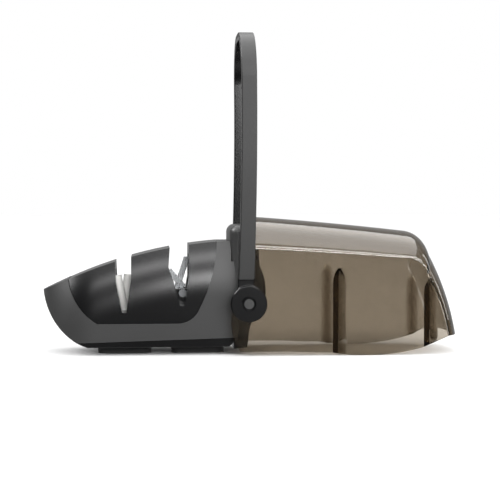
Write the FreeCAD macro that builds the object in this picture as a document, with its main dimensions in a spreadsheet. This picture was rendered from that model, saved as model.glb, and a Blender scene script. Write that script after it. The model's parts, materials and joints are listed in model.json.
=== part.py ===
"""Two-stage pull-through knife sharpener with a folding carry loop and a swing-over cover.

The model is laid out around the hinge pin: every outline is drawn in the pin's own frame
(x towards the cover, z up, y across) and every sub-part is placed at the pin. The pin stands
over the origin's floor, so the whole object sits on z = 0.
"""
import FreeCAD
import Part
import math
import os
import re
import Sketcher

DOC = FreeCAD.newDocument("sharpener")
SHEET = DOC.addObject("Spreadsheet::Sheet", "Sizes")

SIZES = [
    # overall
    ("base_reach", 99.6), ("base_width", 39.6), ("sole_drop", 21.5), ("pad_thick", 4.0),
    ("handle_height", 132.0),
    # base housing, measured down or up from the pin
    ("tip_top", 5.9), ("tip_slope_rise", 5.6), ("nose_run", 26.0), ("nose_shoulder", 8.5),
    ("sole_thick", 4.5), ("bottom_slope", 2.2), ("nose_foot", 16.8), ("sole_inset", 0.8),
    ("housing_wall", 2.4), ("cavity_end", 12.0), ("neck_step", 6.0), ("block_top", 29.6),
    ("neck_top", 37.6), ("neck_left", 8.6), ("neck_right", 2.4), ("neck_depth", 36.0),
    ("neck_corner", 4.0), ("pad_length", 26.0), ("pad_width", 18.0), ("pad_inset", 26.6),
    ("pad_corner", 4.0),
    # sharpening head
    ("head_floor", 10.0), ("head_inset", 12.6), ("head_back", 14.8), ("head_gap", 0.15),
    ("head_edge_round", 6.0), ("chamber_width", 15.0), ("chamber_half", 6.6),
    ("fine_slot_in", 38.9), ("coarse_slot_at", 32.6), ("fine_roof", 15.5), ("coarse_roof", 23.0),
    ("slot_mouth", 8.4), ("slot_root", 2.3), ("fine_slot_floor", 4.6), ("coarse_slot_floor", 1.4),
    # stones and blades
    ("rod_radius", 2.4), ("rod_length", 19.5), ("rod_seat", 3.4), ("rod_gap", 0.4),
    ("blade_thick", 1.6), ("blade_width", 3.0), ("short_blade", 11.0), ("long_blade", 17.0),
    ("blade_gap", 0.3),
    ("cross_pin_radius", 1.9), ("cross_pin_up", 3.9), ("holder_gap", 0.2), ("post_thick", 2.0),
    # hinge stack, outwards from the middle
    ("pin_radius", 1.6), ("pin_clearance", 0.05), ("cheek_thick", 3.0), ("cheek_drop", 23.0),
    ("side_clearance", 0.1),
    ("washer_thick", 3.0), ("bush_radius", 3.3), ("washer_radius", 6.0), ("hub_gap", 0.4),
    ("hub_thick", 3.2), ("hub_sink", 0.4), ("hub_radius", 8.8), ("cap_radius", 2.35),
    ("cap_thick", 1.4), ("cap_sink", 0.2), ("cap_recess_radius", 3.3), ("ear_top", 26.8),
    # carry loop
    ("strip_width", 7.4), ("trim_thick", 1.9), ("loop_corner", 23.0), ("trim_bottom", 11.7),
    ("frame_bottom", 6.0), ("loop_bow", 1.2), ("layer_gap", 0.02),
    # cover
    ("nest_room", 3.3), ("cover_wall", 2.0), ("crest_front", 41.3), ("crest_back", 34.4),
    ("crown_rise", 15.0), ("crown_inset", 6.4), ("crest_fall_run", 25.9),
    ("rim_front_drop", 23.3), ("rim_belly_drop", 25.4), ("rim_tip_drop", 16.2), ("cover_left", 3.0),
    ("rib_radius", 3.4), ("rib_proud", 2.4), ("rib_near_at", 44.4), ("rib_far_in", 15.7),
    ("rib_near_top", 16.6), ("rib_far_top", 11.4),
    # fasteners
    ("screw_radius", 1.3), ("screw_head_radius", 2.6), ("screw_head_depth", 1.8),
    ("screw_bite", 4.0), ("screw_front_in", 27.6), ("screw_rear_at", 18.0), ("screw_off", 12.0),
]
for row, (alias, number) in enumerate(SIZES, start=1):
    SHEET.set(f"A{row}", alias)
    SHEET.set(f"B{row}", str(number))
    SHEET.setAlias(f"B{row}", alias)
DOC.recompute()

# sizes that follow from others
PIN_HEIGHT = "(sole_drop + pad_thick)"
HOUSING_DROP = "(sole_drop - sole_thick)"
HEAD_FRONT = "(base_reach - head_inset)"
FINE_SLOT_AT = "(base_reach - fine_slot_in)"
HALF_BASE = "(base_width / 2)"
COVER_INSIDE = f"({HALF_BASE} + washer_thick + 2 * side_clearance)"
HALF_COVER = f"({COVER_INSIDE} + cover_wall)"
COVER_REACH = "(base_reach + nest_room + cover_wall)"
CREST_RUN = f"({COVER_REACH} - crest_fall_run)"
HUB_INNER = f"({HALF_COVER} + hub_gap)"
HUB_FACE = f"({HUB_INNER} + hub_thick)"
HALF_HANDLE = f"({HUB_FACE} + hub_sink)"
PIN_X = f"(base_reach - {COVER_REACH}) / 2"

SLOTS = (("fine", FINE_SLOT_AT, "fine_slot_floor", "fine_roof"),
         ("coarse", "coarse_slot_at", "coarse_slot_floor", "coarse_roof"))
SOLE_SCREWS = [(x, y) for x in ("screw_front_in - base_reach", "-screw_rear_at")
               for y in ("screw_off", "-screw_off")]
CROSS_PIN_AT = ("1.3 - coarse_slot_at", "cross_pin_up")
NEAR, FAR = 1, -1       # a sketch plane on XZ looks along -y, so near sides have a positive offset
SIDES = (("near", NEAR), ("far", FAR))
ARC_SAG = "0.29289"     # how far in from its corner a quarter circle's middle lies, in radii
CROWN_STEPS = 12        # sections from one side wall of the cover to the other
PARTS = []


def expr(text):
    """A formula in plain size names, as an expression that reads the sheet."""
    return re.sub(r"[a-z][a-z_]+", lambda word: "Sizes." + word.group(), str(text))


def bind(thing, prop, text):
    thing.setExpression(prop, expr(text))


def place_at_pin(thing, x="0", y="0", z="0"):
    """Puts a sub-part in the pin's frame, which stands over the floor."""
    bind(thing, "Placement.Base.x", f"{PIN_X} + ({x})")
    bind(thing, "Placement.Base.y", y)
    bind(thing, "Placement.Base.z", f"{PIN_HEIGHT} + ({z})")


def new_body(name):
    body = DOC.addObject("PartDesign::Body", name)
    body.Label = name
    place_at_pin(body)
    PARTS.append(body)
    return body


def plane_of(body, role):
    return next(f for f in body.Origin.OriginFeatures if f.Role == role)


def number_of(text):
    """The present value of a formula, used only as a sketch's first guess."""
    return float(SHEET.evalExpression(str(text)))


def pin_point(sketch, geo, pos, x, y):
    """Fixes one sketch point at two formulas, measured from the sketch's origin."""
    for kind, text in (("DistanceX", x), ("DistanceY", y)):
        value = number_of(text)
        index = sketch.addConstraint(Sketcher.Constraint(kind, -1, 1, geo, pos, value))
        sketch.setExpression(f"Constraints[{index}]", expr(text))


def outline(body, name, plane, points, offset="0"):
    """A closed sketch. A point is (x, z); ("arc", (x, z)) bends the next edge through a point."""
    sketch = body.newObject("Sketcher::SketchObject", name)
    sketch.AttachmentSupport = [(plane_of(body, plane), "")]
    sketch.MapMode = "FlatFace"
    bind(sketch, "AttachmentOffset.Base.z", offset)
    corners = [p for p in points if p[0] != "arc"]
    bends = {}
    seen = 0
    for point in points:
        if point[0] == "arc":
            bends[seen - 1] = point[1]
        else:
            seen += 1
    at = [FreeCAD.Vector(number_of(x), number_of(y), 0) for x, y in corners]
    edges = []
    for i, start in enumerate(at):
        end = at[(i + 1) % len(at)]
        if i in bends:
            middle = FreeCAD.Vector(number_of(bends[i][0]), number_of(bends[i][1]), 0)
            arc = Part.Arc(start, middle, end)
            geo = sketch.addGeometry(arc, False)
            first = sketch.getPoint(geo, 1)
            starts_first = (first - start).Length < (first - end).Length
            edges.append((geo, 1, 2) if starts_first else (geo, 2, 1))
            mark = sketch.addGeometry(Part.Point(middle), True)
            pin_point(sketch, mark, 1, *bends[i])
            sketch.addConstraint(Sketcher.Constraint("PointOnObject", mark, 1, geo))
        else:
            edges.append((sketch.addGeometry(Part.LineSegment(start, end), False), 1, 2))
    for i, (geo, first, last) in enumerate(edges):
        next_geo, next_first, _ = edges[(i + 1) % len(edges)]
        sketch.addConstraint(Sketcher.Constraint("Coincident", geo, last, next_geo, next_first))
        pin_point(sketch, geo, first, *corners[i])
    return sketch


def circles(body, name, plane, rounds, offset="0"):
    """A sketch of circles, each (x, z, radius) in formulas."""
    sketch = body.newObject("Sketcher::SketchObject", name)
    sketch.AttachmentSupport = [(plane_of(body, plane), "")]
    sketch.MapMode = "FlatFace"
    bind(sketch, "AttachmentOffset.Base.z", offset)
    for x, y, radius in rounds:
        centre = FreeCAD.Vector(number_of(x), number_of(y), 0)
        circle = Part.Circle(centre, FreeCAD.Vector(0, 0, 1), number_of(radius))
        geo = sketch.addGeometry(circle, False)
        pin_point(sketch, geo, 3, x, y)
        index = sketch.addConstraint(Sketcher.Constraint("Radius", geo, number_of(radius)))
        sketch.setExpression(f"Constraints[{index}]", expr(radius))
    return sketch


def feature(body, kind, sketch, length, both_ways=True, backwards=False):
    """A Pad or Pocket of one sketch: about its plane, or one way from it."""
    thing = body.newObject("PartDesign::" + kind, sketch.Name + "_" + kind.lower())
    thing.Profile = sketch
    thing.Type = "Length"
    bind(thing, "Length", length)
    if both_ways:
        thing.SideType = "Symmetric"
    else:
        thing.Reversed = backwards
    body.Tip = thing
    return thing


def solid_volume(body):
    DOC.recompute()
    return body.Shape.Volume


def check_cut(body, before, what):
    """A cut that points away from its solid removes nothing and shows no error."""
    after = solid_volume(body)
    if not after < before - 1e-6:
        raise RuntimeError(f"{what} removed nothing")
    return after


def round_edges(body, name, radius, wanted):
    """Rounds the tip's edges that a test on each edge picks out."""
    DOC.recompute()
    tip = body.Tip
    names = [f"Edge{i}" for i, edge in enumerate(tip.Shape.Edges, start=1) if wanted(edge)]
    if not names:
        raise RuntimeError(f"{name} found no edge")
    fillet = body.newObject("PartDesign::Fillet", name)
    fillet.Base = (tip, names)
    bind(fillet, "Radius", radius)
    body.Tip = fillet
    return fillet


# the line where the black head meets the grey housing, from the front corner to the back one
HEAD_BORDER = [
    (f"-{HEAD_FRONT}", "tip_top + tip_slope_rise - head_gap"),
    ("arc", (f"5.1 - {HEAD_FRONT}", "8.5 - head_floor")), (f"14.2 - {HEAD_FRONT}", "-head_floor"),
    ("-coarse_slot_at - 1.4", "-head_floor"),
    ("arc", ("-coarse_slot_at + 5.6", "2.4 - head_floor")), ("-coarse_slot_at + 9.3", "7.4 - head_floor"),
    ("arc", ("-head_back - 2.9", "block_top - 18")), ("-head_back", "block_top"),
]


def round_nose(body, before, half):
    """Rounds the front in plan, the same way for the housing and the head that sits in it."""
    for side, sign in SIDES:
        wide = f"-{sign} * {half}"
        nose = outline(body, f"nose_{side}", "XY_Plane", [
            ("-base_reach - 1", f"{wide} - {sign}"), ("nose_run - base_reach", f"{wide} - {sign}"),
            ("nose_run - base_reach", wide),
            ("arc", ("nose_shoulder - base_reach", f"{wide} * 0.66")), ("-base_reach", f"{wide} * 0.16"),
            ("-base_reach - 1", f"{wide} * 0.16")])
        feature(body, "Pocket", nose, "base_width + 20")
        before = check_cut(body, before, "nose rounding")
    return before


def base_housing():
    """The grey trough: a pointed nose, a rest for the head, a block and the neck behind it."""
    body = new_body("base_housing")
    points = [("-base_reach", "tip_top"), (f"-{HEAD_FRONT}", "tip_top + tip_slope_rise")]
    points += HEAD_BORDER
    points += [
        ("-neck_left - 0.8", "block_top"), ("-neck_left - 0.8", "block_top - neck_step"),
        ("-neck_left", "block_top - neck_step"), ("-neck_left", "neck_top - neck_corner"),
        ("arc", ("-neck_left + 1.5", "neck_top - 1.2")), ("-neck_left + neck_corner", "neck_top"),
        ("neck_right - neck_corner", "neck_top"), ("arc", ("neck_right - 1.2", "neck_top - 1.2")),
        ("neck_right", "neck_top - neck_corner"), ("neck_right", "4"), ("-4", "-5"),
        ("-5", f"-{HOUSING_DROP}"), ("nose_foot - base_reach", f"-{HOUSING_DROP} - bottom_slope"),
        ("arc", ("4.5 - base_reach", "tip_top - 12.6")),
    ]
    feature(body, "Pad", outline(body, "housing_side", "XZ_Plane", points), "base_width")
    before = solid_volume(body)
    before = round_nose(body, before, HALF_BASE)
    for side, sign in SIDES:                    # the neck is narrower than the housing
        step = outline(body, f"neck_step_{side}", "XZ_Plane", [
            ("-neck_left - 0.4", "block_top - neck_step + 0.1"),
            ("neck_right + 1", "block_top - neck_step + 0.1"),
            ("neck_right + 1", "neck_top + 1"), ("-neck_left - 0.4", "neck_top + 1")],
            f"{sign} * (base_width + neck_depth) / 4")
        feature(body, "Pocket", step, "(base_width - neck_depth) / 2")
        before = check_cut(body, before, "neck step")
    ceiling = "-head_floor - housing_wall"
    cavity = outline(body, "cavity", "XZ_Plane", [
        ("nose_run - base_reach", "-sole_drop"), ("nose_run - base_reach", ceiling),
        ("-cavity_end", ceiling), ("-cavity_end", "-sole_drop")])
    feature(body, "Pocket", cavity, "base_width - 2 * housing_wall")
    before = check_cut(body, before, "cavity")
    bosses = circles(body, "bosses", "XY_Plane",
                     [(x, y, "screw_head_radius") for x, y in SOLE_SCREWS], f"-{HOUSING_DROP}")
    feature(body, "Pad", bosses, f"{HOUSING_DROP} - head_floor - housing_wall", False)
    before = solid_volume(body)
    holes = circles(body, "boss_holes", "XY_Plane",
                    [(x, y, "screw_radius") for x, y in SOLE_SCREWS], f"-{HOUSING_DROP}")
    feature(body, "Pocket", holes, "screw_bite + 0.4", False, True)
    before = check_cut(body, before, "boss holes")
    bore = circles(body, "pin_bore", "XZ_Plane", [("0", "0", "pin_radius")])
    feature(body, "Pocket", bore, "base_width + 2")
    check_cut(body, before, "pin bore")


def sharpening_head():
    """The black moulding that drops into the housing, with two slots over two chambers."""
    body = new_body("sharpening_head")
    points = HEAD_BORDER + [("arc", ("-head_back - 34", "block_top - 5.4"))]
    feature(body, "Pad", outline(body, "head_side", "XZ_Plane", points), "base_width - 2 * head_gap")
    DOC.recompute()
    half = number_of(f"{HALF_BASE} - head_gap")

    def is_long_top_edge(edge):
        box = edge.BoundBox
        return (box.YLength < 0.01 and box.XLength > 60 and box.ZMin > 0
                and abs(abs(box.YMin) - half) < 0.01)

    round_edges(body, "head_top_round", "head_edge_round", is_long_top_edge)
    before = round_nose(body, solid_volume(body), f"({HALF_BASE} - head_gap)")
    for name, at, floor, roof in SLOTS:
        left, right = f"-{at} - slot_mouth / 2", f"-{at} + slot_mouth / 2"
        root = f"-{at} + 0.8"
        notch = [] if name == "fine" else [(f"{left} - 1.6", "16.6")]
        slot = outline(body, f"{name}_slot", "XZ_Plane", [(left, "block_top + 2")] + notch + [
            (f"{left} + 1", "10"), (f"{root} - slot_root / 2", f"-{floor}"),
            (f"{root} + slot_root / 2", f"-{floor}"), (right, "11.5"), (right, "block_top + 2")])
        feature(body, "Pocket", slot, "base_width + 2")
        before = check_cut(body, before, f"{name} slot")
        chamber = outline(body, f"{name}_chamber", "XZ_Plane", [
            (f"-{at} - chamber_half", "-head_floor - 1"), (f"-{at} + chamber_half", "-head_floor - 1"),
            (f"-{at} + chamber_half", roof), (f"-{at} - chamber_half", roof)])
        feature(body, "Pocket", chamber, "chamber_width")
        before = check_cut(body, before, f"{name} chamber")


def stage_holders():
    """A carrier in each chamber; the coarse one has two posts that carry the cross pin."""
    wide = "chamber_width - 2 * holder_gap"
    for name, at, floor, _ in SLOTS:
        body = new_body(f"{name}_stage_holder")
        left, right = f"-{at} - chamber_half + holder_gap", f"-{at} + chamber_half - 1"
        block = outline(body, f"{name}_block", "XZ_Plane", [
            (left, "-head_floor"), (f"-{at} - 1.8", "-head_floor"), (right, "3.8 - head_floor"),
            (right, f"-{floor}"), (left, f"-{floor}")])
        feature(body, "Pad", block, wide)
    posts = outline(body, "posts", "XZ_Plane", [
        ("-coarse_slot_at - 3.6", "-coarse_slot_floor"), ("-coarse_slot_at + 5", "-coarse_slot_floor"),
        ("-coarse_slot_at + 5", "cross_pin_up + 2.3"), ("-coarse_slot_at - 3.6", "cross_pin_up + 2.3")])
    feature(body, "Pad", posts, wide)
    before = solid_volume(body)
    between = outline(body, "between_posts", "XZ_Plane", [
        ("-coarse_slot_at - 4", "-coarse_slot_floor"), ("-coarse_slot_at + 6", "-coarse_slot_floor"),
        ("-coarse_slot_at + 6", "cross_pin_up + 4"), ("-coarse_slot_at - 4", "cross_pin_up + 4")])
    feature(body, "Pocket", between, f"{wide} - 2 * post_thick")
    before = check_cut(body, before, "gap between posts")
    bore = circles(body, "cross_pin_bore", "XZ_Plane", [CROSS_PIN_AT + ("cross_pin_radius",)])
    feature(body, "Pocket", bore, "chamber_width + 2")
    check_cut(body, before, "cross pin bore")


def leaning_bar(name, kind, at, lean, depth, low):
    """A round rod or flat blade that leans across its slot."""
    bar = DOC.addObject(kind, name)
    bar.Label = name
    bar.Placement = FreeCAD.Placement(FreeCAD.Vector(), FreeCAD.Rotation(FreeCAD.Vector(0, 1, 0), lean))
    place_at_pin(bar, at, depth, low)
    PARTS.append(bar)
    return bar


def stones_and_blades():
    """Two ceramic rods cross in the fine slot, two carbide blades in the coarse one."""
    for name, shift, lean, depth in (("front", "0.7", -11.0, "-rod_radius - rod_gap"),
                                     ("rear", "0.3", 7.5, "rod_radius + rod_gap")):
        rod = leaning_bar(f"ceramic_rod_{name}", "Part::Cylinder", f"{shift} - {FINE_SLOT_AT}",
                          lean, depth, "-head_floor + rod_seat")
        bind(rod, "Radius", "rod_radius")
        bind(rod, "Height", "rod_length")
    for name, shift, lean, depth, low, length in (
            ("front", "0.7", -41.0, "-blade_thick - blade_gap", "cross_pin_up + 1.7", "short_blade"),
            ("rear", "-3.0", 18.0, "blade_gap", "cross_pin_up + 1.9", "long_blade")):
        blade = leaning_bar(f"carbide_blade_{name}", "Part::Box", f"{shift} - coarse_slot_at",
                            lean, depth, low)
        bind(blade, "Length", "blade_width")
        bind(blade, "Width", "blade_thick")
        bind(blade, "Height", length)


def cross_pin():
    body = new_body("blade_cross_pin")
    feature(body, "Pad", circles(body, "cross_pin", "XZ_Plane", [CROSS_PIN_AT + ("cross_pin_radius",)]),
            "chamber_width - holder_gap")


def rounded_plate(x, half_long, half_wide, corner):
    """Points of a plate in plan with four round corners."""
    near = f"{ARC_SAG} * {corner}"
    points = []
    for sx, sy in ((1, -1), (1, 1), (-1, 1), (-1, -1)):
        side = (f"{x} + {sx} * {half_long}", f"{sy} * ({half_wide} - {corner})")
        end = (f"{x} + {sx} * ({half_long} - {corner})", f"{sy} * {half_wide}")
        bend = ("arc", (f"{x} + {sx} * ({half_long} - {near})", f"{sy} * ({half_wide} - {near})"))
        points += [end, bend, side] if sx * sy < 0 else [side, bend, end]
    return points


def sole():
    """The black plate that closes the base, with two rubber pads under it."""
    body = new_body("sole_plate")
    side = outline(body, "sole_side", "XZ_Plane", [
        ("nose_foot - base_reach", f"-{HOUSING_DROP} - bottom_slope"),
        ("nose_foot + 2.6 - base_reach", "-sole_drop + 1"), ("nose_foot + 5.3 - base_reach", "-sole_drop"),
        ("-9", "-sole_drop"), ("-7", "-sole_drop + 2"),
        ("-7", f"-{HOUSING_DROP} - bottom_slope * (7 - 5) / (base_reach - nose_foot - 5)")])
    feature(body, "Pad", side, "base_width - 2 * sole_inset")
    before = solid_volume(body)
    sinks = circles(body, "screw_sinks", "XY_Plane",
                    [(x, y, "screw_head_radius + 0.2") for x, y in SOLE_SCREWS], "-sole_drop")
    feature(body, "Pocket", sinks, "screw_head_depth", False, True)
    before = check_cut(body, before, "screw sinks")
    holes = circles(body, "screw_holes", "XY_Plane",
                    [(x, y, "screw_radius") for x, y in SOLE_SCREWS], "-sole_drop")
    feature(body, "Pocket", holes, "sole_thick + 1", False, True)
    check_cut(body, before, "screw holes")
    for name, middle in (("front_pad", "(pad_inset - base_reach + pad_length / 2)"),
                         ("rear_pad", "(-11 - pad_length / 2)")):
        pad = new_body(name)
        plan = outline(pad, name + "_plan", "XY_Plane",
                       rounded_plate(middle, "pad_length / 2", "pad_width / 2", "pad_corner"),
                       f"-{PIN_HEIGHT}")
        feature(pad, "Pad", plan, "pad_thick", False)


def screw_set():
    body = new_body("sole_screws")
    heads = circles(body, "screw_heads", "XY_Plane",
                    [(x, y, "screw_head_radius") for x, y in SOLE_SCREWS], "0.2 - sole_drop")
    feature(body, "Pad", heads, "screw_head_depth - 0.2", False)
    shanks = circles(body, "screw_shanks", "XY_Plane",
                     [(x, y, "screw_radius") for x, y in SOLE_SCREWS], "0.2 - sole_drop")
    feature(body, "Pad", shanks, "sole_thick + screw_bite", False)


CHEEK = [
    ("cover_left - 0.4", "ear_top"), ("cover_left + 2.2", "ear_top - 0.8"),
    ("cover_left + 2.6", "18"), ("arc", ("8.6", "6.4")), ("6.4", "-4.6"),
    ("arc", ("1.9", "-9.6")), ("0.3", "6 - cheek_drop"), ("-0.4", "1.4 - cheek_drop"),
    ("-6.9", "0.6 - cheek_drop"), ("-6.9", f"-{HOUSING_DROP} - 0.1"), ("-4.9", f"-{HOUSING_DROP} - 0.1"),
    ("-3.9", "-4.9"), ("neck_right + 0.1", "3.9"), ("neck_right + 0.1", "ear_top"),
]


def hinge_cheeks():
    """The black hinge frame: two S-shaped cheeks joined below, with an ear above each."""
    body = new_body("hinge_frame")
    feature(body, "Pad", outline(body, "cheek_side", "XZ_Plane", CHEEK), "base_width")
    before = solid_volume(body)
    gap = outline(body, "frame_gap", "XZ_Plane", [
        ("neck_right + 0.05", "5"), ("cover_left + 12", "5"),
        ("cover_left + 12", "ear_top + 1"), ("neck_right + 0.05", "ear_top + 1")])
    feature(body, "Pocket", gap, "base_width - 2 * cheek_thick")
    before = check_cut(body, before, "frame gap")
    bore = circles(body, "frame_bore", "XZ_Plane", [("0", "0", "pin_radius")])
    feature(body, "Pocket", bore, "base_width + 2")
    check_cut(body, before, "frame bore")


def disc(name, radius, middle, thick, bore=None):
    """A round piece on the pin, its middle plane at an offset from the centre line."""
    body = new_body(name)
    feature(body, "Pad", circles(body, name + "_rim", "XZ_Plane", [("0", "0", radius)], middle), thick)
    if bore:
        before = solid_volume(body)
        hole = circles(body, name + "_bore", "XZ_Plane", [("0", "0", bore)], middle)
        feature(body, "Pocket", hole, f"{thick} + 1")
        check_cut(body, before, name + " bore")


def pin_stack():
    """The pin through everything, and on each side a washer, the cover's bush and a cap."""
    cap_face = f"({HALF_HANDLE} - cap_sink)"
    disc("hinge_pin", "pin_radius", "0", f"2 * ({cap_face} - cap_thick)")
    for side, sign in SIDES:
        disc(f"hinge_washer_{side}", "washer_radius",
             f"{sign} * ({HALF_BASE} + side_clearance + washer_thick / 2)", "washer_thick", "pin_radius")
        disc(f"pin_cap_{side}", "cap_radius", f"{sign} * ({cap_face} - cap_thick / 2)", "cap_thick")
        disc(f"cover_bush_{side}", "bush_radius", f"{sign} * ({HALF_COVER} - cover_wall / 2)",
             "cover_wall", "pin_radius + pin_clearance")


def loop_strip(name, half_out, half_in, low):
    """An upright arch across y, cut to the strip's gently bowed side profile."""
    body = new_body(name)

    def arch_side(half, sign):
        """One leg and the round corner above it, from its foot to the flat top."""
        top = f"(handle_height - {HALF_HANDLE} + {half})"
        bend = f"(loop_corner - {HALF_HANDLE} + {half})"
        return [(f"{sign}{half}", low), (f"{sign}{half}", f"{top} - {bend}"),
                ("arc", (f"{sign}({half} - {ARC_SAG} * {bend})", f"{top} - {ARC_SAG} * {bend}")),
                (f"{sign}({half} - {bend})", top)]

    points = arch_side(half_out, "-") + arch_side(half_out, "")[::-1]
    points += arch_side(half_in, "") + arch_side(half_in, "-")[::-1]
    feature(body, "Pad", outline(body, name + "_arch", "YZ_Plane", points), "strip_width + 8")
    before = solid_volume(body)
    for edge, sign, bow in (("left", "-", "1.4"), ("right", "", "1.2")):
        x = f"{sign}strip_width / 2 - 0.5"
        cut = outline(body, f"{name}_{edge}", "XZ_Plane", [
            (f"{x} - {bow}", "0"), ("arc", (f"{x} + loop_bow - 0.6", "handle_height / 2 + 4")),
            (f"{x} + 0.2", "handle_height + 1"), (f"{sign}20", "handle_height + 1"), (f"{sign}20", "0")])
        feature(body, "Pocket", cut, f"2 * {HALF_HANDLE} + 2")
        before = check_cut(body, before, f"{name} {edge} edge")
    return body


def carry_loop():
    """A grey trim strip over a black frame that ends in a hub round the pin on each side."""
    loop_strip("handle_trim", HALF_HANDLE, f"({HALF_HANDLE} - trim_thick)", "trim_bottom")
    body = loop_strip("handle_frame", f"({HALF_HANDLE} - trim_thick - layer_gap)", HUB_INNER,
                      "frame_bottom")
    for side, sign in SIDES:
        hub = circles(body, f"hub_{side}", "XZ_Plane", [("0", "0", "hub_radius")],
                      f"{sign} * ({HUB_INNER} + hub_thick / 2)")
        feature(body, "Pad", hub, "hub_thick")
    before = solid_volume(body)
    bore = circles(body, "hub_bore", "XZ_Plane", [("0", "0", "pin_radius + pin_clearance")])
    feature(body, "Pocket", bore, f"2 * {HALF_HANDLE} + 2")
    before = check_cut(body, before, "hub bore")
    for side, sign in SIDES:
        recess = circles(body, f"cap_recess_{side}", "XZ_Plane", [("0", "0", "cap_recess_radius")],
                         f"{sign} * {HALF_HANDLE}")
        feature(body, "Pocket", recess, "2 * (cap_thick + cap_sink + 0.3)")
        before = check_cut(body, before, "cap recess")


def cover_section(drop, inset, off):
    """The cover's long outline at one distance from its middle: lower and shorter towards the sides."""
    end = f"({COVER_REACH} - {inset} - {off})"
    run = f"({CREST_RUN} - {inset} * 0.3 - {off} * 0.6)"
    front = f"(crest_front - {drop} - {off})"
    back = f"(crest_back - {drop} * 0.82 - {off})"
    low = "-rim_belly_drop - 4"
    left = "-12"
    return [
        (left, low), (end, low), (end, "-rim_tip_drop"),
        ("arc", (f"{end} - 4.2", f"1.2 - {drop} * 0.1")), (f"{run} + 11.5", f"{back} - 9.5"),
        ("arc", (f"{run} + 6.8", f"{back} - 2.4")), (run, back),
        ("arc", (f"{run} * 0.53", f"({front} + {back}) / 2 + 0.4")), (left, f"{front} + 1.2"),
    ]


def cover_loft(body, kind, name, half, off):
    """Sections across the width, evenly turned from one side wall over the crown to the other."""
    bend = 0.96         # how much of a quarter ellipse the crown uses
    sections = []
    for i in range(CROWN_STEPS + 1):
        share = math.sin((i / CROWN_STEPS - 0.5) * math.pi)
        fall = (1 - (1 - (share * bend) ** 2) ** 0.5) / (1 - (1 - bend ** 2) ** 0.5)
        sections.append(outline(body, f"{name}_{i}", "XZ_Plane",
                                cover_section(f"crown_rise * {fall:.4f}", f"crown_inset * {fall:.4f}", off),
                                f"{share:.5f} * {half}"))
    loft = body.newObject("PartDesign::" + kind, name)
    loft.Profile = sections[0]
    loft.Sections = sections[1:]
    loft.Ruled = True
    body.Tip = loft


def cover_shell():
    """The smoke cover: a crowned box, open below and at the hinge, with ribs inside its walls."""
    body = new_body("cover_shell")
    cover_loft(body, "AdditiveLoft", "outer_form", HALF_COVER, "0")
    before = solid_volume(body)
    cover_loft(body, "SubtractiveLoft", "inner_form", COVER_INSIDE, "cover_wall")
    before = check_cut(body, before, "cover hollow")
    for name, at, top in (("rib_mid", "rib_near_at", "rib_near_top"),
                          ("rib_end", f"({COVER_REACH} - rib_far_in)", "rib_far_top")):
        for side, sign in SIDES:
            left, right = f"{at} - rib_radius", f"{at} + rib_radius"
            rib = outline(body, f"{name}_{side}", "XZ_Plane", [
                (left, f"{top} - rib_radius"), ("arc", (at, top)), (right, f"{top} - rib_radius"),
                (right, "-rim_belly_drop - 3"), (left, "-rim_belly_drop - 3")],
                f"{sign} * ({COVER_INSIDE} - rib_proud / 2 + 0.25)")
            feature(body, "Pad", rib, "rib_proud + 0.5")
    before = solid_volume(body)
    rim = outline(body, "rim_line", "XZ_Plane", [
        ("-14", "-rim_front_drop"), ("20", "-rim_front_drop"),
        ("arc", ("31", "-rim_front_drop - 0.5")), ("40", "-rim_belly_drop + 1.5"),
        ("arc", ("61", "-rim_belly_drop")), (f"{COVER_REACH} - 18.5", "-rim_belly_drop + 3.9"),
        (f"{COVER_REACH} - 6.5", "-rim_tip_drop"), (f"{COVER_REACH} + 3", "-rim_tip_drop"),
        (f"{COVER_REACH} + 3", "-60"), ("-14", "-60")])
    feature(body, "Pocket", rim, f"2 * {HALF_COVER} + 10")
    before = check_cut(body, before, "rim")
    mouth = outline(body, "mouth", "XZ_Plane", [
        ("cover_left", "60"), ("cover_left", "7.2"), ("-6.4", "0.6"),
        ("arc", ("-8.3", "-9.5")), ("-4", "-rim_front_drop"), ("-4", "-60"), ("-30", "-60"), ("-30", "60")])
    feature(body, "Pocket", mouth, f"2 * {HALF_COVER} + 10")
    before = check_cut(body, before, "mouth")
    bore = circles(body, "bush_bore", "XZ_Plane", [("0", "0", "bush_radius")])
    feature(body, "Pocket", bore, f"2 * {HALF_COVER} + 2")
    check_cut(body, before, "bush bore")


def main():
    for build in (base_housing, sharpening_head, stage_holders, stones_and_blades, cross_pin, sole,
                  screw_set, hinge_cheeks, pin_stack, carry_loop, cover_shell):
        build()
    DOC.recompute()
    for thing in DOC.Objects:
        if {"Invalid", "Error"} & set(thing.State):
            raise RuntimeError(f"{thing.Label} failed: {thing.State}")
    os.makedirs("parts", exist_ok=True)
    for part in PARTS:
        shape = part.Shape
        if shape.isNull() or not shape.isValid() or not shape.Solids:
            raise RuntimeError(f"{part.Label} has no valid solid")
        shape.exportStep(os.path.join("parts", part.Label + ".step"))
        print(f"{part.Label:22s} solids {len(shape.Solids)} volume {shape.Volume:9.1f}")


main()
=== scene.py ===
"""Looks for a pull-through knife sharpener: smoke cover, black head, grey base and carry loop."""
import json
import math

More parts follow.
